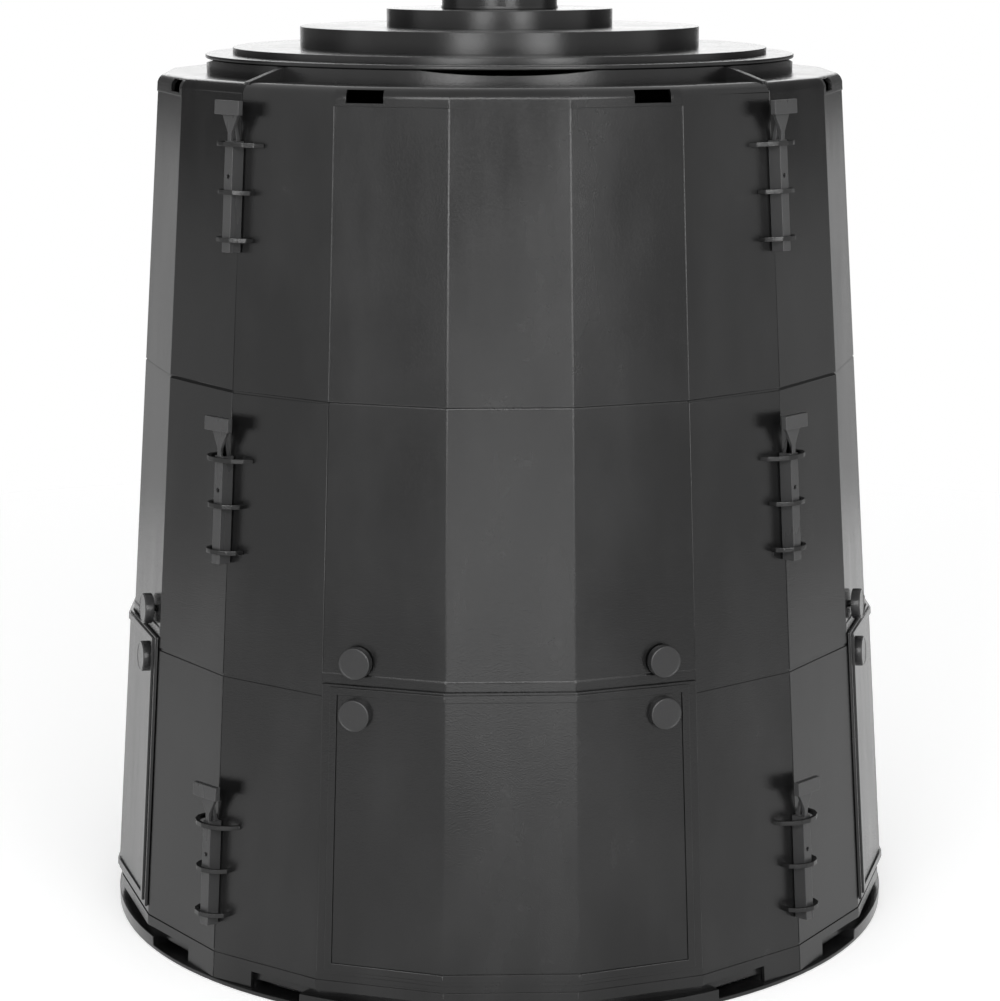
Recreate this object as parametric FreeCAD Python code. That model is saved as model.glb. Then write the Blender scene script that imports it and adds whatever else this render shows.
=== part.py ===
import FreeCAD, Part
import math
import os

Vec = FreeCAD.Vector

# Compost bin of four clipped wall panels on a vented base, with a lift-off lid.
# Millimetres, +Z up, front faces -Y, origin on the ground under the bin's axis.
# An azimuth is counted from the front, in degrees, towards +X.

# Body: a tapered many-sided shell
facet_count = 20
panel_count = 4
corner_radius_at_ground = 401.2
corner_radius_at_shoulder = 340.7
shoulder_height = 853.0
wall = 4.0
bend_radius = 11.0
panel_gap = 0.6

# Neck that carries the lid
shoulder_width = 48.7
neck_height = 13.0
scallop_half_width = 80.0
scallop_depth = 4.5
gusset_thickness = 3.0
gusset_inset = 4.7

# Vent slots in the top bend
vent_lateral = 25.5
vent_width = 35.0
vent_drop = 14.2
vent_height = 11.8
vent_depth = 18.0

# Lines and fields moulded in the wall
groove_depth = 1.0
groove_height = 2.4
middle_groove_z = 570.0
lower_groove_drop = 11.5
hem_drop = 7.0
field_recess = 0.8
field_drop = 17.5
lip_gap = 8.3
lip_height = 26.0
lip_proud = 1.0

# Doors
door_top = 312.5
door_bottom = 38.0
door_gap = 0.3
door_skin = 3.0
door_facets = 3
opening_side_margin = 13.0
opening_top_margin = 12.5
opening_bottom_margin = 14.0
plug_clearance = 1.0
plug_wall = 3.0
plug_depth = 6.0
bead_height = 1.7
bead_width = 7.0
bead_side_inset = 7.0
bead_top_inset = 2.0
bead_bottom_inset = 4.0

# Round knobs: turn latches on the wall and pull grips on the door
knob_radius = 15.0
knob_face = 10.5
knob_edge = 1.6
knob_gap = 0.3
knob_sides = 16
knob_share = 0.4318
latch_rise = 21.5
grip_drop = 26.9
latch_shaft_radius = 3.5
latch_running_gap = 0.05
latch_square = 4.5
grip_stud_width = 7.0
grip_stud_head_width = 12.0
grip_stud_head = 2.5
tongue_standoff = 3.0
tongue_thickness = 3.0
tongue_width = 14.0
tongue_length = 60.0
keeper_gap = 1.0
keeper_thickness = 3.0
keeper_width = 18.0
keeper_drop = 15.5
keeper_floor = 3.0
keeper_tip_gap = 2.5

# Fittings along the joints between panels
top_fitting_drop = 99.0
low_fitting_z = 114.5
middle_fitting_share = 0.547
loop_pitch = 43.4
loop_thickness = 4.0
loop_reach = 20.0
top_loop_half_chord = 27.0
lower_loop_half_chord = 20.0
loop_band = 4.0
loop_clearance = 0.4
loop_steps = 8
pin_width = 11.0
pin_play = 1.8
pin_wall_gap = 0.5
pin_tail = 12.0
handle_width = 33.0
handle_height = 13.0
handle_thickness = 5.5
handle_rise = 33.0
handle_proud = 4.6
stem_thickness = 5.0
stem_leg = 3.5
stem_flare = 8.0
pin_hole_width = 3.8
pin_hole_depth = 6.0
pin_hole_rise = 14.0

# Base ring and the vented floor that lies in it
rim_overhang = 0.3
rim_plate = 4.0
foot_angle = 38.3
sill_angle = 29.5
sill_top = 13.0
sill_gap = 7.0
ring_wall = 4.0
ring_gap = 1.5
ring_top = 21.0
ledge = 8.0
inlet_bottom = 4.0
inlet_top = 10.5
floor_top = 16.0
floor_thickness = 4.0
floor_gap = 0.5
floor_boss_width = 90.0
spoke_thickness = 3.0
spoke_count = 8
slot_row_radii = [100.0, 190.0, 275.0]
slot_pitch = 112.0
slot_length = 46.0
slot_width = 8.0

# Lid
lid_sheet = 3.0
lid_seat_gap = 0.3
lid_overhang = 1.0
lid_flange = 4.0
lid_tier_insets = [27.0, 67.0, 86.3]
lid_tier_rises = [6.3, 20.1, 17.3]
lug_count = 6
lug_gap = 2.0
lug_width = 40.0
lug_wall = 3.0
lug_depth = 10.0
lid_knob_flare = 1.3
lid_knob_flare_height = 3.0
lid_knob_radius = 57.5
lid_knob_height = 26.0
lid_knob_edge = 3.0
lid_screw_width = 3.8
lid_screw_head_width = 8.5
lid_screw_head = 3.0
lid_screw_length = 16.0

# How far a cutter or a joining piece reaches past the surface that it meets
overrun = 1.0

# Values worked out from those above
facet_angle = 360.0 / facet_count
half_facet = math.radians(facet_angle / 2.0)
panel_angle = 360.0 / panel_count
joint_angle = panel_angle / 2.0
corner_taper = (corner_radius_at_ground - corner_radius_at_shoulder) / shoulder_height
facet_taper = corner_taper * math.cos(half_facet)
corner_lean = math.degrees(math.atan(corner_taper))
facet_lean = math.atan(facet_taper)
far = 3.0 * corner_radius_at_ground

inner_bend_cut = (bend_radius - wall) * (2.0 - math.sqrt(2.0))
neck_radius = corner_radius_at_shoulder - shoulder_width
neck_inner = neck_radius - wall
neck_top = shoulder_height + neck_height
vent_bottom = shoulder_height - vent_drop
field_top = shoulder_height - field_drop

door_edge_angle = door_facets * facet_angle / 2.0
door_outer = door_gap + door_skin
opening_top = door_top - opening_top_margin
opening_bottom = door_bottom + opening_bottom_margin
lip_bottom = door_top + lip_gap
lower_groove_z = door_top - lower_groove_drop
hem_groove_z = door_bottom - hem_drop
latch_z = door_top + latch_rise
grip_z = door_top - grip_drop
facet_half_width = (corner_radius_at_ground - corner_taper * latch_z) * math.sin(half_facet)
knob_lateral = knob_share * facet_half_width
keeper_top = door_top - keeper_drop
tongue_outer = -wall - tongue_standoff
tongue_inner = tongue_outer - tongue_thickness
keeper_outer = tongue_inner - keeper_gap
keeper_inner = keeper_outer - keeper_thickness

top_fitting_z = shoulder_height - top_fitting_drop
middle_fitting_z = low_fitting_z + middle_fitting_share * (top_fitting_z - low_fitting_z)
fitting_heights = [top_fitting_z, middle_fitting_z, low_fitting_z]
pin_inner = pin_wall_gap
pin_outer = loop_reach - loop_band - pin_play
handle_outer = pin_outer + handle_proud
handle_inner = handle_outer - handle_thickness

base_radius = corner_radius_at_ground + rim_overhang
foot_bottom = rim_plate
wall_bottom = sill_top + sill_gap
floor_low = floor_top - floor_thickness
ring_offset = -wall - ring_gap
floor_offset = ring_offset - ring_wall - floor_gap
lid_bottom = neck_top + lid_seat_gap
lid_flange_radius = neck_radius + lid_overhang
lid_top = lid_bottom + lid_flange + sum(lid_tier_rises)


def radial(azimuth):
    angle = math.radians(azimuth)
    return Vec(math.sin(angle), -math.cos(angle), 0)


def tangent(azimuth):
    angle = math.radians(azimuth)
    return Vec(math.cos(angle), math.sin(angle), 0)


def corner_radius(z):
    return corner_radius_at_ground - corner_taper * z


def corner(azimuth, z, offset=0.0):
    reach = corner_radius(z) + offset / math.cos(half_facet)
    return radial(azimuth) * reach + Vec(0, 0, z)


def corners(first, last, z, offset):
    steps = round((last - first) / facet_angle)
    return [corner(first + facet_angle * step, z, offset) for step in range(steps + 1)]


def face(points):
    return Part.Face(Part.makePolygon(points + points[:1]))


def polyhedron(bottom, top):
    """Solid between two outlines that run anticlockwise seen from above."""
    faces = [face(bottom[::-1]), face(top)]
    for i in range(len(bottom)):
        j = (i + 1) % len(bottom)
        faces.append(face([bottom[i], bottom[j], top[j], top[i]]))
    shell = Part.Shell(faces)
    shell.sewShape()
    return Part.Solid(shell.Shells[0])


def sector_block(first, last, z0, z1, offset):
    """Solid from the axis out to the faceted surface moved out by offset."""
    ends = []
    for z in (z0, z1):
        ends.append([Vec(0, 0, z)] + corners(first, last, z, offset))
    return polyhedron(ends[0], ends[1])


def facet_shell(first, last, z0, z1, inner, outer, outer_top=None):
    """Faceted skin between two offsets of the body's surface."""
    top_offset = outer if outer_top is None else outer_top
    bottom = corners(first, last, z0, outer) + corners(first, last, z0, inner)[::-1]
    top = corners(first, last, z1, top_offset) + corners(first, last, z1, inner)[::-1]
    return polyhedron(bottom, top)


def around(shape, azimuth):
    turned = shape.copy()
    turned.rotate(Vec(0, 0, 0), Vec(0, 0, 1), azimuth)
    return turned


def wedge(first, last, z0, z1, radius):
    """Pie slice between two azimuths."""
    slice_ = Part.makeCylinder(radius, z1 - z0, Vec(0, 0, z0), Vec(0, 0, 1), last - first)
    slice_.rotate(Vec(0, 0, 0), Vec(0, 0, 1), first - 90.0)
    return slice_


def tube(outer, inner, z0, z1):
    wide = Part.makeCylinder(outer, z1 - z0, Vec(0, 0, z0))
    narrow = Part.makeCylinder(inner, z1 - z0, Vec(0, 0, z0))
    return wide.cut(narrow)


def block(x0, x1, y0, y1, z0, z1):
    return Part.makeBox(x1 - x0, y1 - y0, z1 - z0, Vec(x0, y0, z0))


def rounded_prism(sides, width, z0, z1, edge=0.0):
    """Upright prism of many sides, width across flats, with a chamfered top rim."""
    reach = width / 2.0 / math.cos(math.pi / sides)

    def ring(radius, z):
        return [radial(i * 360.0 / sides) * radius + Vec(0, 0, z) for i in range(sides)]

    body = polyhedron(ring(reach, z0), ring(reach, z1 - edge))
    if edge > 0.0:
        body = body.fuse(polyhedron(ring(reach, z1 - edge), ring(reach - edge, z1)))
    return body


def joint_frame(azimuth, z):
    """Local x runs round the bin, y outwards and z up along the corner."""
    turn = FreeCAD.Rotation(Vec(0, 0, 1), 180.0 + azimuth)
    lean = FreeCAD.Rotation(Vec(1, 0, 0), corner_lean)
    return FreeCAD.Placement(corner(azimuth, z), turn.multiply(lean))


def facet_frame(azimuth, lateral, z):
    """Local z is the facet's outward normal and y runs up the facet."""
    apothem = corner_radius(z) * math.cos(half_facet)
    place = radial(azimuth) * apothem + tangent(azimuth) * lateral + Vec(0, 0, z)
    normal = radial(azimuth) * math.cos(facet_lean) + Vec(0, 0, math.sin(facet_lean))
    rise = Vec(0, 0, math.cos(facet_lean)) - radial(azimuth) * math.sin(facet_lean)
    return FreeCAD.Placement(place, FreeCAD.Rotation(Vec(0, 0, 0), rise, normal, "ZYX"))


def placed(shape, placement):
    moved = shape.copy()
    moved.Placement = placement.multiply(moved.Placement)
    return moved


def edges_where(shape, wanted):
    return [edge for edge in shape.Edges if wanted(edge)]


def door_half_width(z):
    return corner_radius(z) * math.sin(math.radians(door_edge_angle))


def door_prism(bottom, top, side_inset):
    """Prism through the front of the bin, as wide as the door less an inset a side."""
    outline = []
    for z, side in ((bottom, -1), (bottom, 1), (top, 1), (top, -1)):
        outline.append(Vec(side * (door_half_width(z) - side_inset), -far, z))
    return face(outline).extrude(Vec(0, far, 0))


def eased_block(first, last, z0, z1, offset, ease):
    """Sector block whose outer top edges are eased by the named operation."""
    body = sector_block(first, last, z0, z1, offset)
    reach = corner_radius(z1) + offset / math.cos(half_facet)
    lowest = reach * math.cos(half_facet) - overrun

    def on_top_rim(edge):
        ends = [vertex.Point for vertex in edge.Vertexes]
        level = all(abs(point.z - z1) < 1e-6 for point in ends)
        return level and all(math.hypot(point.x, point.y) > lowest for point in ends)

    return ease(body, edges_where(body, on_top_rim))


def panel_shell():
    outer = eased_block(-joint_angle, joint_angle, foot_bottom, shoulder_height, 0.0,
                        lambda body, rim: body.makeFillet(bend_radius, rim))
    inner = eased_block(-joint_angle, joint_angle, foot_bottom - overrun,
                        shoulder_height - wall, -wall,
                        lambda body, rim: body.makeChamfer(inner_bend_cut, rim))
    mouth = Part.makeCylinder(neck_inner, far, Vec(0, 0, shoulder_height / 2.0))
    return outer.cut([inner, mouth])


def panel_neck():
    """Quarter of the collar, with a low finger scallop in its rim."""
    low = shoulder_height - wall
    collar = tube(neck_radius, neck_inner, low, neck_top)
    collar = collar.common(wedge(-joint_angle, joint_angle, low, neck_top, far))
    arc = (scallop_half_width ** 2 + scallop_depth ** 2) / (2.0 * scallop_depth)
    centre = Vec(0, -far, neck_top - scallop_depth + arc)
    return collar.cut(Part.makeCylinder(arc, far, centre, Vec(0, 1, 0)))


def end_gusset(side):
    """Web that ties the collar to the shoulder beside a joint."""
    foot = corner_radius_at_shoulder - gusset_inset
    low = shoulder_height - wall / 2.0
    inside = neck_radius - wall / 2.0
    profile = [(inside, low), (foot, low), (foot, shoulder_height + overrun / 2.0),
               (neck_radius, neck_top), (inside, neck_top)]
    points = [Vec(0, -reach, z) for reach, z in profile]
    web = face(points).extrude(Vec(-side * gusset_thickness, 0, 0))
    return around(web, side * joint_angle)


def panel_vents():
    cuts = []
    for side in (-1, 1):
        frame = facet_frame(side * facet_angle, side * vent_lateral, vent_bottom)
        cut = block(-vent_width / 2.0, vent_width / 2.0, 0.0, vent_height,
                    -vent_depth, vent_depth)
        cuts.append(placed(cut, frame))
    return cuts


def groove(first, last, z):
    low = z - groove_height / 2.0
    return facet_shell(first, last, low, low + groove_height, -groove_depth, overrun)


def drip_lip():
    edge = door_edge_angle
    return facet_shell(-edge, edge, lip_bottom, lip_bottom + lip_height,
                       -wall / 2.0, lip_proud, -field_recess)


def arch_end(radius, centre_y, offset):
    """Angle at which an arch comes down to a line set off from the wall."""
    slope = math.tan(half_facet)
    drop = offset / math.cos(half_facet) - centre_y
    a = 1.0 + slope ** 2
    b = -2.0 * slope * drop
    c = drop ** 2 - radius ** 2
    across = (-b + math.sqrt(b ** 2 - 4.0 * a * c)) / (2.0 * a)
    return math.atan2(drop - slope * across, across)


def arch_points(radius, centre_y, offsets):
    start = arch_end(radius, centre_y, offsets[0])
    end = math.pi - arch_end(radius, centre_y, offsets[1])
    points = []
    for i in range(loop_steps + 1):
        angle = start + (end - start) * i / loop_steps
        points.append(Vec(radius * math.cos(angle), centre_y + radius * math.sin(angle), 0))
    return points


def eyelet(half_chord, azimuth, z, root):
    """Arched band over a joint, rooted in the wall on one side and clear of the other."""
    radius = (half_chord ** 2 + loop_reach ** 2) / (2.0 * loop_reach)
    centre_y = loop_reach - radius
    embedded = -wall / 2.0
    offsets = (embedded, loop_clearance) if root < 0 else (loop_clearance, embedded)
    outer = arch_points(radius, centre_y, offsets)
    inner = arch_points(radius - loop_band, centre_y, offsets)
    band = face(outer + inner[::-1]).extrude(Vec(0, 0, loop_thickness))
    band.translate(Vec(0, 0, -loop_thickness / 2.0))
    return placed(band, joint_frame(azimuth, z))


def panel_loops():
    """Top and bottom eyelets at one end of the panel, the middle one at the other."""
    loops = []
    for middle in fitting_heights:
        loops.append(eyelet(top_loop_half_chord, joint_angle, middle + loop_pitch, -1))
        loops.append(eyelet(lower_loop_half_chord, joint_angle, middle - loop_pitch, -1))
        loops.append(eyelet(lower_loop_half_chord, -joint_angle, middle, 1))
    return loops


def latch_bores():
    bores = []
    across = 2.0 * (latch_shaft_radius + latch_running_gap)
    for side in (-1, 1):
        bore = rounded_prism(knob_sides, across, -2.0 * wall, 2.0 * wall)
        frame = facet_frame(side * facet_angle, side * knob_lateral, latch_z)
        bores.append(placed(bore, frame))
    return bores


def wall_panel():
    edge = door_edge_angle
    panel = panel_shell()
    panel = panel.fuse([panel_neck(), end_gusset(-1), end_gusset(1)])
    cuts = panel_vents()
    cuts.append(wedge(-foot_angle, foot_angle, foot_bottom - overrun, wall_bottom, far))
    cuts.append(groove(-joint_angle, joint_angle, middle_groove_z))
    for first, last in ((-joint_angle, -edge), (edge, joint_angle)):
        cuts.append(groove(first, last, lower_groove_z))
    cuts.append(groove(-joint_angle, joint_angle, hem_groove_z))
    cuts.append(facet_shell(-edge, edge, lip_bottom, field_top, -field_recess, overrun))
    cuts.append(door_prism(opening_bottom, opening_top, opening_side_margin))
    for side in (-1, 1):
        slab = block(-panel_gap / 2.0, panel_gap / 2.0, -far, 0.0, -overrun, far)
        cuts.append(around(slab, side * joint_angle))
    panel = panel.cut(cuts)
    panel = panel.fuse([drip_lip()] + panel_loops())
    return panel.cut(latch_bores())


def door():
    """Three-facet skin over the opening, plugged into it, with two latch keepers."""
    edge = door_edge_angle
    skin = facet_shell(-edge, edge, door_bottom, door_top, door_gap, door_outer)
    skin = skin.common(door_prism(door_bottom, door_top, 0.0))

    bead = facet_shell(-edge, edge, door_bottom, door_top, door_gap,
                       door_outer + bead_height)
    bead_low = door_bottom + bead_bottom_inset
    bead_high = door_top - bead_top_inset
    bead = bead.common(door_prism(bead_low, bead_high, bead_side_inset))
    bead = bead.cut(door_prism(bead_low + bead_width, bead_high - bead_width,
                               bead_side_inset + bead_width))

    plug = facet_shell(-edge, edge, door_bottom, door_top, -plug_depth,
                       door_gap + door_skin / 2.0)
    side = opening_side_margin + plug_clearance
    low = opening_bottom + plug_clearance
    high = opening_top - plug_clearance
    plug = plug.common(door_prism(low, high, side))
    plug = plug.cut(door_prism(low + plug_wall, high - plug_wall, side + plug_wall))

    return skin.fuse([bead, plug] + [door_keeper(-1), door_keeper(1)]).cut(stud_holes())


def door_keeper(side):
    """Hook behind the door that the turned-down tongue drops into."""
    frame = facet_frame(side * facet_angle, side * knob_lateral, keeper_top)
    tip = latch_z - tongue_length
    floor_high = -(keeper_top - tip) - keeper_tip_gap
    floor_low = floor_high - keeper_floor
    half = keeper_width / 2.0
    plate = block(-half, half, floor_low, 0.0, keeper_inner, keeper_outer)
    shelf = block(-half, half, floor_low, floor_high, keeper_inner,
                  door_gap + door_skin / 2.0)
    return placed(plate.fuse(shelf), frame)


def stud_holes():
    holes = []
    half = grip_stud_width / 2.0
    for side in (-1, 1):
        frame = facet_frame(side * facet_angle, side * knob_lateral, grip_z)
        hole = block(-half, half, -half, half, -2.0 * door_outer, 2.0 * door_outer)
        holes.append(placed(hole, frame))
    return holes


def knob_disc(low):
    return rounded_prism(knob_sides, 2.0 * knob_radius, low, knob_face, knob_edge)


def latch_knob(side):
    """Knob outside, shaft through the wall and a square end inside."""
    across = 2.0 * latch_shaft_radius * math.cos(math.pi / knob_sides)
    shaft = rounded_prism(knob_sides, across, tongue_outer, wall)
    half = latch_square / 2.0
    square = block(-half, half, -half, half, tongue_inner - overrun, tongue_outer + overrun)
    knob = knob_disc(lip_proud + knob_gap).fuse([shaft, square])
    return placed(knob, facet_frame(side * facet_angle, side * knob_lateral, latch_z))


def latch_tongue(side):
    """Arm inside the wall. It lies level, towards the middle of the panel."""
    half = tongue_width / 2.0
    corner_cut = tongue_width / 4.0
    outline = [Vec(-half, -corner_cut, 0), Vec(-corner_cut, -half, 0),
               Vec(tongue_length - corner_cut, -half, 0), Vec(tongue_length, -corner_cut, 0),
               Vec(tongue_length, corner_cut, 0), Vec(tongue_length - corner_cut, half, 0),
               Vec(-corner_cut, half, 0), Vec(-half, corner_cut, 0)]
    arm = face(outline).extrude(Vec(0, 0, tongue_thickness))
    arm.translate(Vec(0, 0, tongue_inner))
    half = latch_square / 2.0
    arm = arm.cut(block(-half, half, -half, half, tongue_inner, tongue_outer))
    if side > 0:
        arm.rotate(Vec(0, 0, 0), Vec(0, 0, 1), 180.0)
    return placed(arm, facet_frame(side * facet_angle, side * knob_lateral, latch_z))


def door_grip(side):
    """Pull grip whose stud is headed over on the inside of the door."""
    half = grip_stud_width / 2.0
    wide = grip_stud_head_width / 2.0
    low = door_gap - grip_stud_head
    stud = block(-half, half, -half, half, door_gap, door_outer + overrun)
    head = block(-wide, wide, -wide, wide, low, door_gap)
    grip = knob_disc(door_outer).fuse([stud, head])
    return placed(grip, facet_frame(side * facet_angle, side * knob_lateral, grip_z))


def pin_profile_web():
    """Stem side view between the bar and the handle, with a three-sided window."""
    low = 0.0
    high = handle_rise - handle_height / 2.0 + overrun
    outline = [Vec(0, pin_inner + overrun, low), Vec(0, pin_outer, low),
               Vec(0, pin_outer, high), Vec(0, handle_inner - stem_leg, high)]
    web = face(outline)
    window = [Vec(0, pin_inner + overrun + 1.6 * stem_leg, low + stem_leg),
              Vec(0, pin_outer - stem_leg, low + stem_leg),
              Vec(0, pin_outer - stem_leg, high - 2.0 * stem_leg)]
    web = web.cut(face(window))
    web = web.extrude(Vec(stem_thickness, 0, 0))
    web.translate(Vec(-stem_thickness / 2.0, 0, 0))
    return web


def lock_pin():
    """Pin in its joint frame, with the top eyelet's centre at z = 0."""
    half = pin_width / 2.0
    low = -2.0 * loop_pitch - pin_tail
    bar = block(-half, half, pin_inner, pin_outer, low, loop_thickness / 2.0 + overrun)

    handle_low = handle_rise - handle_height / 2.0
    wide = handle_width / 2.0
    handle = block(-wide, wide, handle_inner, handle_outer, handle_low,
                   handle_low + handle_height)

    thin = stem_thickness / 2.0
    flare = [Vec(-thin - stem_flare, 0, handle_low), Vec(thin + stem_flare, 0, handle_low),
             Vec(thin, 0, handle_low - 2.0 * stem_flare),
             Vec(-thin, 0, handle_low - 2.0 * stem_flare)]
    flare = face(flare).extrude(Vec(0, stem_leg, 0))
    flare.translate(Vec(0, pin_outer - stem_leg, 0))

    pin = bar.fuse([pin_profile_web(), handle, flare])
    hole = rounded_prism(6, pin_hole_width, 0.0, pin_hole_depth + overrun)
    hole.rotate(Vec(0, 0, 0), Vec(1, 0, 0), 90.0)
    hole.translate(Vec(0, pin_outer + overrun, -loop_pitch + pin_hole_rise))
    return pin.cut(hole)


def base_ring():
    """Round rim that the panels stand on, with a faceted ring standing up inside them."""
    plate = Part.makeCylinder(base_radius, rim_plate)
    step = Part.makeCylinder(base_radius, sill_top)
    body = plate.fuse(base_ring_prism(0.0, ring_top, ring_offset))
    cuts = [base_ring_prism(floor_low, far, ring_offset - ring_wall),
            base_ring_prism(-overrun, far, ring_offset - ring_wall - ledge)]
    for i in range(panel_count):
        middle = i * panel_angle
        body = body.fuse(step.common(wedge(middle - sill_angle, middle + sill_angle,
                                           0.0, sill_top, far)))
        for side in (-1, 1):
            first, last = sorted((side * sill_angle, side * foot_angle))
            cuts.append(wedge(middle + first, middle + last, inlet_bottom, inlet_top, far))
    return body.cut(cuts)


def base_ring_prism(z0, z1, offset):
    """Upright prism with the bin's own number of sides, offset from its lower outline."""
    reach = corner_radius(ring_top) + offset / math.cos(half_facet)
    outline = []
    for i in range(facet_count):
        outline.append(radial(facet_angle * (i + 0.5)) * reach + Vec(0, 0, z0))
    return face(outline).extrude(Vec(0, 0, z1 - z0))


def base_floor():
    """Slotted floor that lies on the ring's ledge, on spokes that reach the ground."""
    plate = base_ring_prism(floor_low, floor_top, floor_offset)
    boss = rounded_prism(facet_count, floor_boss_width, 0.0, floor_top)
    reach = corner_radius(ring_top) * math.cos(half_facet) + ring_offset - ring_wall - ledge
    spokes = []
    for i in range(spoke_count):
        spoke = block(-spoke_thickness / 2.0, spoke_thickness / 2.0, floor_gap - reach,
                      overrun - floor_boss_width / 2.0, 0.0, floor_low + overrun)
        spokes.append(around(spoke, i * 360.0 / spoke_count))
    slots = []
    for radius in slot_row_radii:
        slot = block(-slot_length / 2.0, slot_length / 2.0, -radius - slot_width / 2.0,
                     slot_width / 2.0 - radius, floor_low - overrun, floor_top + overrun)
        count = int(2.0 * math.pi * radius / slot_pitch)
        for i in range(count):
            slots.append(around(slot, (i + 0.5) * 360.0 / count))
    return plate.fuse([boss] + spokes).cut(slots)


def lid_profile():
    """Stepped dome, as an outer and an inner line that both run up to the axis."""
    level = lid_bottom + lid_flange
    radius = lid_flange_radius
    outside = [(radius, lid_bottom), (radius, level)]
    inside = []
    for inset, rise in zip(lid_tier_insets, lid_tier_rises):
        radius -= inset
        low = level - lid_sheet if inside else lid_bottom
        outside += [(radius, level), (radius, level + rise)]
        inside += [(radius - lid_sheet, low), (radius - lid_sheet, level + rise - lid_sheet)]
        level += rise
    outside.append((0.0, level))
    inside.append((0.0, level - lid_sheet))
    return outside, inside


def lid_shell():
    outside, inside = lid_profile()
    points = [Vec(radius, 0, z) for radius, z in outside + inside[::-1]]
    shell = face(points).revolve(Vec(0, 0, 0), Vec(0, 0, 1), 360.0)
    half = lug_width / 2.0
    outer = math.sqrt((neck_inner - lug_gap) ** 2 - half ** 2)
    lug = block(-half, half, -outer, -outer + lug_wall, lid_bottom - lug_depth,
                lid_bottom + lid_flange / 2.0)
    lugs = [around(lug, (i + 0.5) * 360.0 / lug_count) for i in range(lug_count)]
    hole = rounded_prism(12, lid_screw_width, lid_bottom, far)
    return shell.fuse(lugs).cut(hole)


def lid_knob():
    """Round hand knob, flared where it sits on the lid."""
    screw_tip = lid_top - lid_sheet + lid_screw_length
    profile = [(0.0, 0.0), (lid_knob_radius + lid_knob_flare, 0.0),
               (lid_knob_radius, lid_knob_flare_height),
               (lid_knob_radius, lid_knob_height - lid_knob_edge),
               (lid_knob_radius - lid_knob_edge, lid_knob_height), (0.0, lid_knob_height)]
    points = [Vec(radius, 0, lid_top + z) for radius, z in profile]
    knob = face(points).revolve(Vec(0, 0, 0), Vec(0, 0, 1), 360.0)
    return knob.cut(rounded_prism(12, lid_screw_width, lid_top - overrun, screw_tip))


def lid_screw():
    under = lid_top - lid_sheet
    head = rounded_prism(12, lid_screw_head_width, under - lid_screw_head, under)
    shank = rounded_prism(12, lid_screw_width, under, under + lid_screw_length)
    return head.fuse(shank)


def clean(shape):
    tidy = shape.removeSplitter()
    if not tidy.isValid():
        tidy.fix(1e-3, 1e-3, 1e-2)
    return tidy


def write(name, shape):
    solids = shape.Solids
    body = solids[0] if len(solids) == 1 else Part.makeCompound(solids)
    body.exportStep("parts/" + name + ".step")
    volume = sum(solid.Volume for solid in solids)
    print("%-28s solids %d  valid %s  volume %.0f" % (name, len(solids),
                                                     shape.isValid(), volume))


def main():
    os.makedirs("parts", exist_ok=True)
    sides = ["front", "right", "back", "left"]
    corners_named = ["front_right", "back_right", "back_left", "front_left"]
    rows = ["upper", "middle", "lower"]

    write("base_ring", clean(base_ring()))
    write("base_floor", clean(base_floor()))
    panel = clean(wall_panel())
    hatch = clean(door())
    door_grips = [clean(door_grip(side)) for side in (-1, 1)]
    knobs = {side: clean(latch_knob(side)) for side in (-1, 1)}
    for i, side in enumerate(sides):
        turn = i * panel_angle
        write("wall_" + side, around(panel, turn))
        write("door_" + side, around(hatch, turn))
        grips = Part.makeCompound([around(grip, turn) for grip in door_grips])
        write("door_grips_" + side, grips)
        for hand, sign in (("left", -1), ("right", 1)):
            name = side + "_" + hand
            write("latch_knob_" + name, around(knobs[sign], turn))
            write("latch_tongue_" + name, around(latch_tongue(sign), turn))

    pin = clean(lock_pin())
    for i, place in enumerate(corners_named):
        azimuth = joint_angle + i * panel_angle
        for row, middle in zip(rows, fitting_heights):
            frame = joint_frame(azimuth, middle + loop_pitch)
            write("pin_" + place + "_" + row, placed(pin, frame))

    write("lid", clean(lid_shell()))
    write("lid_knob", clean(lid_knob()))
    write("lid_knob_screw", clean(lid_screw()))


main()
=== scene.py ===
import math

import bmesh
import bpy
from mathutils import Matrix, Vector


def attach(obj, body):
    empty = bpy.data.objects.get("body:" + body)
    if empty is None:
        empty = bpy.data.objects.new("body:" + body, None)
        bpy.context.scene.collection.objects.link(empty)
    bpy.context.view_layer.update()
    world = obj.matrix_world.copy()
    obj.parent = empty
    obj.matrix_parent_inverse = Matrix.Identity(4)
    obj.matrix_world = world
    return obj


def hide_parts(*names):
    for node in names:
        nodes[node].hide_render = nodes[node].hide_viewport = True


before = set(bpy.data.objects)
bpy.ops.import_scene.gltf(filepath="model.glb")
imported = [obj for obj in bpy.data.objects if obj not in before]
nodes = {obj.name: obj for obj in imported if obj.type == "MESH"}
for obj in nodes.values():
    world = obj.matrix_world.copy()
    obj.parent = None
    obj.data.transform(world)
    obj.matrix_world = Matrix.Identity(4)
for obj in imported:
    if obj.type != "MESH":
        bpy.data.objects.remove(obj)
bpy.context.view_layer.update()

# Camera, from the photograph's perspective
CAMERA_LENS = 96.19
CAMERA_SENSOR = 36.0
CAMERA_PLACE = (-0.0732, -2.7102, 0.9855)
CAMERA_PITCH = 11.962
CAMERA_YAW = -1.557
CAMERA_CLIP = 200.0

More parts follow.
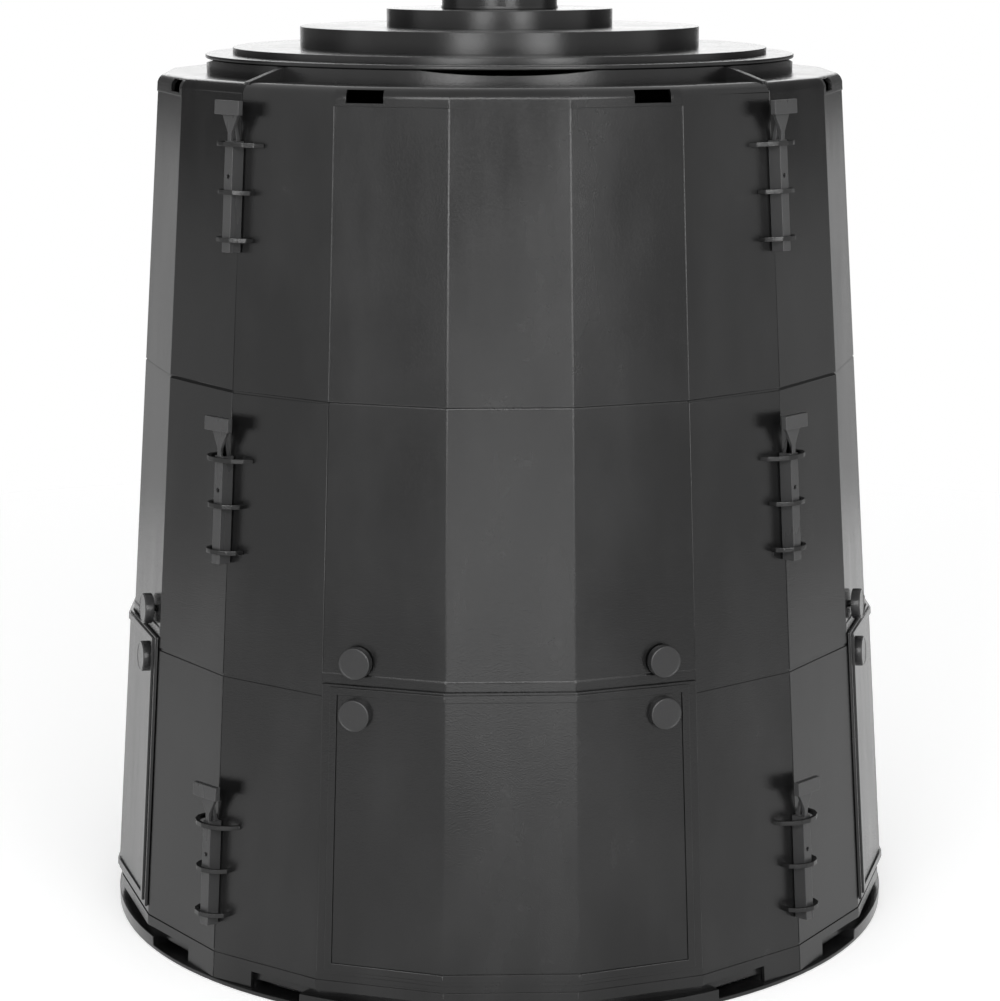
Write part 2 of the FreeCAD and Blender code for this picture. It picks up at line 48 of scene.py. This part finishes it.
# The bin's own sizes, in metres and degrees, and the names of its sides
CORNER_AT_GROUND = 0.4012
CORNER_AT_SHOULDER = 0.3407
SHOULDER = 0.853
FACET = 18.0
SIDES = ("front", "right", "back", "left")
FIELD_RECESS = 0.0008
FIELD_FOOT = 0.3208
FIELD_SLOPE_MOULDED = 0.026
FIELD_SLOPE_SHORT = 0.002
FIELD_HALF_ANGLE = 27.0
GROOVE_LOW = 0.5687
GROOVE_HIGH = 0.5713
GROOVE_DEPTH = 0.001
GROOVE_LEAN = 0.0016
KNOB_LATERAL = 0.4318 * 0.05906
LATCH_Z = 0.334
GRIP_Z = 0.2856
KNOB_SIDES = 48

# Rounding of the moulded edges: radius in metres, and the turns in degrees that it is for
BEND_ROUND = 0.0012
UPRIGHT_ROUND = 0.0010
UPRIGHT_CLIMB = 0.03
CORNER_ROUND = 0.0006
DOOR_ROUND = 0.0010
LID_ROUND = 0.0010
RING_ROUND = 0.0008
BAR_ROUND = 0.0005
BLUNT_TURN = (12.0, 30.0)
MIDDLE_TURN = (30.0, 60.0)
SHARP_TURN = (60.0, 120.0)
BAR_TURN = (40.0, 120.0)
SHORTEST_EDGE = 0.0015
SMOOTH_UNDER = 50.0
WELD_DISTANCE = 0.00002
FLAT_UNDER = 0.6

# Colours, as linear values, and gloss
BODY_BLACK = (0.0035, 0.0035, 0.0036)
LID_BLACK = (0.0035, 0.0035, 0.0036)
FITTING_BLACK = (0.0360, 0.0360, 0.0365)
KNOB_BLACK = (0.0200, 0.0200, 0.0204)
SCREW_ZINC = (0.55, 0.55, 0.56)
MOULDING_GLOSS = 0.20
FITTING_GLOSS = 0.28
KNOB_GLOSS = 0.24
PLASTIC_IOR = 1.42

# Marks of the moulding: noise scales, and the shares that they take
CLOUD_SCALE = 9.0
SCUFF_SCALE = 38.0
RUN_SCALE = 30.0
STREAK_SCALE = 60.0
SKIN_SCALE = 700.0
SKIN_HEIGHT = 0.0006
SKIN_STRENGTH = 0.25
SCUFF_LIFT = 0.018
HAZE_SHARE = 0.5

# Stage
WHITE = (1.0, 1.0, 1.0, 1.0)
FLOOR_PALE = (0.80, 0.80, 0.80, 1.0)
FLOOR_DROP = 0.0005
FLOOR_LIFT = 0.4
FLOOR_REACH = 2.2
FLOOR_STEP = 5
BIN_SHADOW = (0.385, 0.4)
WORLD_LIT = 0.6
FLAG_AZIMUTH = 126.0
FLAG_TURN = (0.68, 0.74)
FLAG_TONES = (0.6, 0.16)
FLAG_REACH = 2.2
FLAG_WIDTH = 2.6
FLAG_TOP = 2.8
AIM_HEIGHT = 0.45


def new_material(name):
    material = bpy.data.materials.new(name)
    material.use_nodes = True
    tree = material.node_tree
    tree.nodes.clear()
    output = tree.nodes.new("ShaderNodeOutputMaterial")
    return material, tree, output


def link(tree, source, target):
    tree.links.new(source, target)


def noise(tree, vector, scale, detail=4.0, roughness=0.55):
    node = tree.nodes.new("ShaderNodeTexNoise")
    node.inputs["Scale"].default_value = scale
    node.inputs["Detail"].default_value = detail
    node.inputs["Roughness"].default_value = roughness
    link(tree, vector, node.inputs["Vector"])
    return node.outputs["Fac"]


def stretched(tree, vector, scale):
    node = tree.nodes.new("ShaderNodeMapping")
    node.inputs["Scale"].default_value = scale
    link(tree, vector, node.inputs["Vector"])
    return node.outputs["Vector"]


def ranged(tree, value, low, high, to_low, to_high):
    node = tree.nodes.new("ShaderNodeMapRange")
    for key, number in (("From Min", low), ("From Max", high), ("To Min", to_low), ("To Max", to_high)):
        node.inputs[key].default_value = number
    link(tree, value, node.inputs["Value"])
    return node.outputs["Result"]


def combined(tree, first, second, operation="MULTIPLY"):
    node = tree.nodes.new("ShaderNodeMath")
    node.operation = operation
    link(tree, first, node.inputs[0])
    link(tree, second, node.inputs[1])
    return node.outputs["Value"]


def tinted(tree, amount, dark, light):
    node = tree.nodes.new("ShaderNodeMix")
    node.data_type = "RGBA"
    node.inputs["A"].default_value = (*dark, 1.0)
    node.inputs["B"].default_value = (*light, 1.0)
    link(tree, amount, node.inputs["Factor"])
    return node.outputs["Result"]


def moulded_plastic(name, colour, gloss):
    """Satin moulded plastic with flow marks, faint scuffs and a fine skin."""
    material, tree, output = new_material(name)
    shader = tree.nodes.new("ShaderNodeBsdfPrincipled")
    shader.inputs["IOR"].default_value = PLASTIC_IOR
    place = tree.nodes.new("ShaderNodeTexCoord").outputs["Object"]

    clouds = noise(tree, stretched(tree, place, (1.0, 1.0, 0.45)), CLOUD_SCALE)
    scuffs = ranged(tree, noise(tree, place, SCUFF_SCALE, 8.0, 0.7), 0.5, 0.7, 0.0, 1.0)
    falls = noise(tree, stretched(tree, place, (1.0, 1.0, 0.2)), RUN_SCALE, 6.0, 0.65)
    runs = ranged(tree, falls, 0.52, 0.72, 0.0, 1.0)
    lighter = tuple(channel + SCUFF_LIFT for channel in colour)
    haze = ranged(tree, clouds, 0.4, 0.7, 0.0, HAZE_SHARE)
    worn = combined(tree, scuffs, runs, "MAXIMUM")
    marks = combined(tree, ranged(tree, clouds, 0.45, 0.68, 0.0, 1.0), worn)
    marks = combined(tree, marks, haze, "MAXIMUM")
    link(tree, tinted(tree, marks, colour, lighter), shader.inputs["Base Color"])

    streaks = noise(tree, stretched(tree, place, (1.0, 1.0, 0.12)), STREAK_SCALE, 3.0)
    spread = combined(tree, ranged(tree, clouds, 0.3, 0.7, -0.04, 0.05),
                      ranged(tree, streaks, 0.3, 0.7, -0.02, 0.02), "ADD")
    link(tree, ranged(tree, spread, -1.0, 1.0, gloss - 1.0, gloss + 1.0), shader.inputs["Roughness"])

    skin = tree.nodes.new("ShaderNodeBump")
    skin.inputs["Strength"].default_value = SKIN_STRENGTH
    skin.inputs["Distance"].default_value = SKIN_HEIGHT
    link(tree, noise(tree, place, SKIN_SCALE, 2.0), skin.inputs["Height"])
    link(tree, skin.outputs["Normal"], shader.inputs["Normal"])
    link(tree, shader.outputs["BSDF"], output.inputs["Surface"])
    return material


def zinc(name):
    """Plated steel, a little patchy."""
    material, tree, output = new_material(name)
    shader = tree.nodes.new("ShaderNodeBsdfPrincipled")
    place = tree.nodes.new("ShaderNodeTexCoord").outputs["Object"]
    patches = noise(tree, place, 300.0)
    darker = tuple(channel * 0.8 for channel in SCREW_ZINC)
    link(tree, tinted(tree, patches, darker, SCREW_ZINC), shader.inputs["Base Color"])
    shader.inputs["Metallic"].default_value = 1.0
    link(tree, ranged(tree, patches, 0.3, 0.7, 0.3, 0.45), shader.inputs["Roughness"])
    link(tree, shader.outputs["BSDF"], output.inputs["Surface"])
    return material


def dress(obj, material):
    obj.data.materials.clear()
    obj.data.materials.append(material)


body_plastic = moulded_plastic("body_plastic", BODY_BLACK, MOULDING_GLOSS)
lid_plastic = moulded_plastic("lid_plastic", LID_BLACK, MOULDING_GLOSS)
fitting_plastic = moulded_plastic("fitting_plastic", FITTING_BLACK, FITTING_GLOSS)
knob_plastic = moulded_plastic("knob_plastic", KNOB_BLACK, KNOB_GLOSS)
screw_zinc = zinc("screw_zinc")

for name, obj in nodes.items():
    if name == "lid_knob_screw":
        dress(obj, screw_zinc)
    elif name.startswith("lid"):
        dress(obj, lid_plastic)
    elif name.startswith(("pin_", "latch_tongue")):
        dress(obj, fitting_plastic)
    else:
        dress(obj, body_plastic)

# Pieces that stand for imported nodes, with their edges rounded as moulded plastic is
TAPER = (CORNER_AT_GROUND - CORNER_AT_SHOULDER) / SHOULDER
HALF_FACET = math.radians(FACET / 2.0)
FACET_LEAN = math.atan(TAPER * math.cos(HALF_FACET))


def radial(azimuth):
    """Level direction out of the bin at an azimuth, counted from the front toward the right."""
    angle = math.radians(azimuth)
    return Vector((math.sin(angle), -math.cos(angle), 0.0))


def apothem(z):
    """Distance of the facets from the bin's axis at a height."""
    return (CORNER_AT_GROUND - TAPER * z) * math.cos(HALF_FACET)


def facet_place(azimuth, lateral, z):
    """Placement on a facet: local x runs round the bin, y up the facet and z outwards."""
    out = radial(azimuth)
    across = radial(azimuth + 90.0)
    up = Vector((0.0, 0.0, 1.0))
    normal = out * math.cos(FACET_LEAN) + up * math.sin(FACET_LEAN)
    rise = up * math.cos(FACET_LEAN) - out * math.sin(FACET_LEAN)
    place = out * apothem(z) + across * lateral + up * z
    return Matrix.Translation(place) @ Matrix((across, rise, normal)).transposed().to_4x4()


def welded(node):
    """The node's mesh with its seams welded and its flat triangles merged."""
    mesh = bmesh.new()
    mesh.from_mesh(nodes[node].data)
    bmesh.ops.remove_doubles(mesh, verts=mesh.verts, dist=WELD_DISTANCE)
    bmesh.ops.dissolve_limit(mesh, angle_limit=math.radians(FLAT_UNDER), verts=mesh.verts, edges=mesh.edges)
    return mesh


def round_edges(mesh, width, turn, segments=2, climb=0.0):
    """Rounds the outer edges that turn by an angle in the range given and climb at least so far."""
    bluntest, sharpest = turn
    chosen = []
    for edge in mesh.edges:
        rise = abs(edge.verts[1].co.z - edge.verts[0].co.z)
        outer = len(edge.link_faces) == 2 and edge.is_convex
        if outer and edge.calc_length() > SHORTEST_EDGE and rise >= climb:
            if bluntest <= math.degrees(edge.calc_face_angle()) <= sharpest:
                chosen.append(edge)
    bmesh.ops.bevel(mesh, geom=chosen, offset=width, offset_type="OFFSET", segments=segments,
                    profile=0.5, affect="EDGES", clamp_overlap=False)


def facet_offset(vert):
    """A vertex's azimuth, the nearest facet's azimuth and how far the vertex stands off that facet."""
    azimuth = math.degrees(math.atan2(vert.co.x, -vert.co.y))
    facet = round(azimuth / FACET) * FACET
    return azimuth, facet, vert.co.dot(radial(facet)) - apothem(vert.co.z)


def set_offset(vert, offset, new_offset, new_z):
    """Moves a vertex toward the bin's axis, or from it, until it stands at a new offset and height."""
    shrink = (apothem(new_z) + new_offset) / (apothem(vert.co.z) + offset)
    vert.co = Vector((vert.co.x * shrink, vert.co.y * shrink, new_z))


def lean_field_groove(mesh):
    """Slopes the groove across the recessed field, from flush at its lower side to deep at its upper."""
    middle = (GROOVE_LOW + GROOVE_HIGH) / 2.0
    for vert in mesh.verts:
        azimuth, _, offset = facet_offset(vert)
        in_field = abs((azimuth + 45.0) % 90.0 - 45.0) < FIELD_HALF_ANGLE + 0.1
        if GROOVE_LOW < vert.co.z < GROOVE_HIGH and in_field and abs(offset + GROOVE_DEPTH) < 0.0001:
            sunk = GROOVE_LEAN if vert.co.z > middle else 0.0
            set_offset(vert, offset, -FIELD_RECESS - sunk, vert.co.z)
    bmesh.ops.remove_doubles(mesh, verts=mesh.verts, dist=WELD_DISTANCE)


def steepen_field_foot(mesh):
    """Turns the long slope at the foot of each recessed field into a short rounded step."""
    for vert in mesh.verts:
        z = vert.co.z
        azimuth, facet, offset = facet_offset(vert)
        on_slope = FIELD_FOOT - 0.0001 < z < FIELD_FOOT + FIELD_SLOPE_MOULDED + 0.0001
        if not (on_slope and abs(offset) < 0.0015):
            continue
        on_side_facet = abs(offset) < 0.00005 and abs(abs(azimuth - facet) - FACET / 2.0) < 0.1
        if z < FIELD_FOOT + 0.0001 or on_side_facet:
            new_z = FIELD_FOOT
            new_offset = min(offset, 0.0)
        else:
            new_z = FIELD_FOOT + (z - FIELD_FOOT) * FIELD_SLOPE_SHORT / FIELD_SLOPE_MOULDED
            new_offset = offset
            if offset > -FIELD_RECESS * 0.95:
                new_offset = -FIELD_RECESS * (new_z - FIELD_FOOT) / FIELD_SLOPE_SHORT
        set_offset(vert, offset, new_offset, new_z)
    bmesh.ops.remove_doubles(mesh, verts=mesh.verts, dist=WELD_DISTANCE)


def finished(name, mesh, node, body, material):
    """Makes a piece of a mesh, rides it on its body and lets it stand for its node."""
    mesh.normal_update()
    for face in mesh.faces:
        face.smooth = True
    for edge in mesh.edges:
        edge.smooth = math.degrees(edge.calc_face_angle(math.pi)) < SMOOTH_UNDER
    data = bpy.data.meshes.new(name)
    mesh.to_mesh(data)
    mesh.free()
    piece = bpy.data.objects.new(name, data)
    bpy.context.collection.objects.link(piece)
    normals = piece.modifiers.new("normals", "WEIGHTED_NORMAL")
    normals.keep_sharp = True
    dress(piece, material)
    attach(piece, body)
    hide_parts(node)


def eased_wall(side):
    """A wall panel with its lines crisp and its moulded edges rounded."""
    node = "wall_" + side
    mesh = welded(node)
    steepen_field_foot(mesh)
    lean_field_groove(mesh)
    round_edges(mesh, BEND_ROUND, BLUNT_TURN)
    round_edges(mesh, UPRIGHT_ROUND, MIDDLE_TURN, climb=UPRIGHT_CLIMB)
    round_edges(mesh, CORNER_ROUND, SHARP_TURN)
    finished("panel_" + side, mesh, node, "bin", body_plastic)


def eased_door(side):
    """A door with its bends and its bead rounded."""
    node = "door_" + side
    mesh = welded(node)
    round_edges(mesh, BEND_ROUND, BLUNT_TURN)
    round_edges(mesh, DOOR_ROUND, SHARP_TURN, segments=3)
    finished("hatch_" + side, mesh, node, node, body_plastic)


def turned(name, profile, places, node, body):
    """Turned piece: a closed profile of (radius, height) about the local z, once for each place."""
    mesh = bmesh.new()
    for place in places:
        rings = []
        for radius, height in profile:
            ring = []
            for i in range(KNOB_SIDES):
                angle = 2.0 * math.pi * i / KNOB_SIDES
                point = Vector((radius * math.cos(angle), radius * math.sin(angle), height))
                ring.append(mesh.verts.new(place @ point))
            rings.append(ring)
        mesh.faces.new(rings[0][::-1])
        mesh.faces.new(rings[-1])
        for low, high in zip(rings, rings[1:]):
            for i in range(KNOB_SIDES):
                j = (i + 1) % KNOB_SIDES
                mesh.faces.new((low[i], low[j], high[j], high[i]))
    finished(name, mesh, node, body, knob_plastic)


# Turned profiles of the knobs, as radius and height off the facet
KNOB_HEAD = [(0.0146, 0.0016), (0.0150, 0.0020), (0.0150, 0.0091), (0.0148, 0.0098), (0.0143, 0.0103),
             (0.0136, 0.0105), (0.0131, 0.0104), (0.0128, 0.0102)]
LATCH_SHAFT = [(0.0022, -0.0110), (0.0022, -0.0065), (0.0034, -0.0065), (0.0034, 0.0016)]
GRIP_STUD = [(0.0060, -0.0022), (0.0060, 0.0003), (0.0034, 0.0003), (0.0034, 0.0033), (0.0146, 0.0033)]

for node, name in (("lid", "lid_cover"), ("lid_knob", "lid_handle")):
    lid_part = welded(node)
    round_edges(lid_part, LID_ROUND, SHARP_TURN)
    finished(name, lid_part, node, "lid", lid_plastic)

foot_ring = welded("base_ring")
round_edges(foot_ring, RING_ROUND, SHARP_TURN)
finished("foot_ring", foot_ring, "base_ring", "bin", body_plastic)

for node in sorted(nodes):
    if node.startswith("pin_"):
        bar = welded(node)
        round_edges(bar, BAR_ROUND, BAR_TURN)
        bar_name = node.replace("pin", "bar", 1)
        finished(bar_name, bar, node, node + "_body", fitting_plastic)

for quarter, side in enumerate(SIDES):
    eased_wall(side)
    eased_door(side)
    grips = []
    for hand, sign in (("left", -1.0), ("right", 1.0)):
        azimuth = 90.0 * quarter + sign * FACET
        latch = side + "_" + hand
        latch_place = facet_place(azimuth, sign * KNOB_LATERAL, LATCH_Z)
        turned("knob_" + latch, LATCH_SHAFT + KNOB_HEAD, [latch_place],
               "latch_knob_" + latch, "latch_" + latch)
        grips.append(facet_place(azimuth, sign * KNOB_LATERAL, GRIP_Z))
    turned("grips_" + side, GRIP_STUD + KNOB_HEAD[1:], grips, "door_grips_" + side, "door_" + side)

# Stage: pale floor, white surround and soft studio light


def ray_kind(tree, *kinds):
    """1 for the kinds of ray named, 0 for the others."""
    paths = tree.nodes.new("ShaderNodeLightPath")
    chosen = paths.outputs[kinds[0]]
    for kind in kinds[1:]:
        chosen = combined(tree, chosen, paths.outputs[kind], "MAXIMUM")
    return chosen


def stage_floor():
    """Pale round floor, white as it is seen and mirrored outside the bin's own footprint."""
    mesh = bpy.data.meshes.new("stage_floor")
    corners = [(FLOOR_REACH * math.sin(math.radians(a)), FLOOR_REACH * math.cos(math.radians(a)), 0.0)
               for a in range(0, 360, FLOOR_STEP)]
    mesh.from_pydata(corners, [], [tuple(reversed(range(len(corners))))])
    floor = bpy.data.objects.new("stage_floor", mesh)
    bpy.context.collection.objects.link(floor)
    floor.location.z = -FLOOR_DROP
    material, tree, output = new_material("stage_floor")
    diffuse = tree.nodes.new("ShaderNodeBsdfDiffuse")
    diffuse.inputs["Color"].default_value = FLOOR_PALE
    gain = tree.nodes.new("ShaderNodeEmission")
    gain.inputs["Color"].default_value = WHITE
    seen = ray_kind(tree, "Is Camera Ray", "Is Glossy Ray", "Is Transmission Ray")
    from_axis = tree.nodes.new("ShaderNodeVectorMath")
    from_axis.operation = "LENGTH"
    link(tree, tree.nodes.new("ShaderNodeTexCoord").outputs["Object"], from_axis.inputs[0])
    outside = ranged(tree, from_axis.outputs["Value"], *BIN_SHADOW, 0.0, FLOOR_LIFT)
    link(tree, combined(tree, seen, outside), gain.inputs["Strength"])
    both = tree.nodes.new("ShaderNodeAddShader")
    link(tree, diffuse.outputs["BSDF"], both.inputs[0])
    link(tree, gain.outputs["Emission"], both.inputs[1])
    link(tree, both.outputs["Shader"], output.inputs["Surface"])
    dress(floor, material)


def white_world():
    """White as it is seen and mirrored, and a plain level of light on the object."""
    world = bpy.data.worlds.new("studio")
    bpy.context.scene.world = world
    world.use_nodes = True
    tree = world.node_tree
    tree.nodes.clear()
    output = tree.nodes.new("ShaderNodeOutputWorld")
    seen = ray_kind(tree, "Is Camera Ray", "Is Glossy Ray", "Is Transmission Ray")
    background = tree.nodes.new("ShaderNodeBackground")
    background.inputs["Color"].default_value = WHITE
    link(tree, ranged(tree, seen, 0.0, 1.0, WORLD_LIT, 1.0), background.inputs["Strength"])
    link(tree, background.outputs["Background"], output.inputs["Surface"])


def softbox(name, azimuth, reach, height, size, radiance):
    """Rectangular lamp of a given brightness, aimed at the middle of the bin."""
    light = bpy.data.lights.new(name, "AREA")
    light.shape = "RECTANGLE"
    light.size, light.size_y = size
    light.energy = radiance * math.pi * size[0] * size[1]
    lamp = bpy.data.objects.new(name, light)
    angle = math.radians(azimuth)
    lamp.location = (reach * math.sin(angle), -reach * math.cos(angle), height)
    aim = Vector((0.0, 0.0, AIM_HEIGHT)) - lamp.location
    lamp.rotation_euler = aim.to_track_quat("-Z", "Y").to_euler()
    bpy.context.collection.objects.link(lamp)


def flag(name, azimuth):
    """Grey card beside the bin, darker above, that tones the white surround its side facets mirror."""
    mesh = bpy.data.meshes.new(name)
    half = FLAG_WIDTH / 2.0
    corners = [(-half, 0.0, 0.0), (half, 0.0, 0.0), (half, 0.0, FLAG_TOP), (-half, 0.0, FLAG_TOP)]
    mesh.from_pydata(corners, [], [(0, 1, 2, 3)])
    card = bpy.data.objects.new(name, mesh)
    bpy.context.collection.objects.link(card)
    angle = math.radians(azimuth)
    card.location = (FLAG_REACH * math.sin(angle), -FLAG_REACH * math.cos(angle), 0.0)
    card.rotation_euler.z = angle
    card.visible_camera = False
    card.visible_diffuse = False
    card.visible_shadow = False
    material, tree, output = new_material(name)
    grey = tree.nodes.new("ShaderNodeEmission")
    grey.inputs["Color"].default_value = WHITE
    split = tree.nodes.new("ShaderNodeSeparateXYZ")
    link(tree, tree.nodes.new("ShaderNodeTexCoord").outputs["Object"], split.inputs["Vector"])
    link(tree, ranged(tree, split.outputs["Z"], *FLAG_TURN, *FLAG_TONES), grey.inputs["Strength"])
    link(tree, grey.outputs["Emission"], output.inputs["Surface"])
    dress(card, material)


stage_floor()
white_world()
flag("flag_left", -FLAG_AZIMUTH)
flag("flag_right", FLAG_AZIMUTH)
softbox("key_left", azimuth=-18.0, reach=3.6, height=0.9, size=(1.05, 1.0), radiance=6.5)
softbox("key_right", azimuth=21.0, reach=3.6, height=0.9, size=(1.05, 1.0), radiance=6.5)
softbox("low_fill", azimuth=1.8, reach=8.0, height=-0.3, size=(2.8, 1.5), radiance=2.3)
softbox("high_front", azimuth=0.0, reach=3.4, height=2.0, size=(4.6, 0.7), radiance=7.5)
softbox("back", azimuth=180.0, reach=4.0, height=1.9, size=(2.8, 1.4), radiance=1.25)


def add_camera():
    data = bpy.data.cameras.new("photo_camera")
    data.lens = CAMERA_LENS
    data.sensor_width = CAMERA_SENSOR
    data.sensor_fit = "HORIZONTAL"
    data.clip_end = CAMERA_CLIP
    camera = bpy.data.objects.new("photo_camera", data)
    camera.location = CAMERA_PLACE
    camera.rotation_euler = (math.radians(90.0 - CAMERA_PITCH), 0.0, math.radians(CAMERA_YAW))
    bpy.context.collection.objects.link(camera)
    bpy.context.scene.camera = camera


add_camera()
bpy.context.scene.view_settings.view_transform = "Standard"
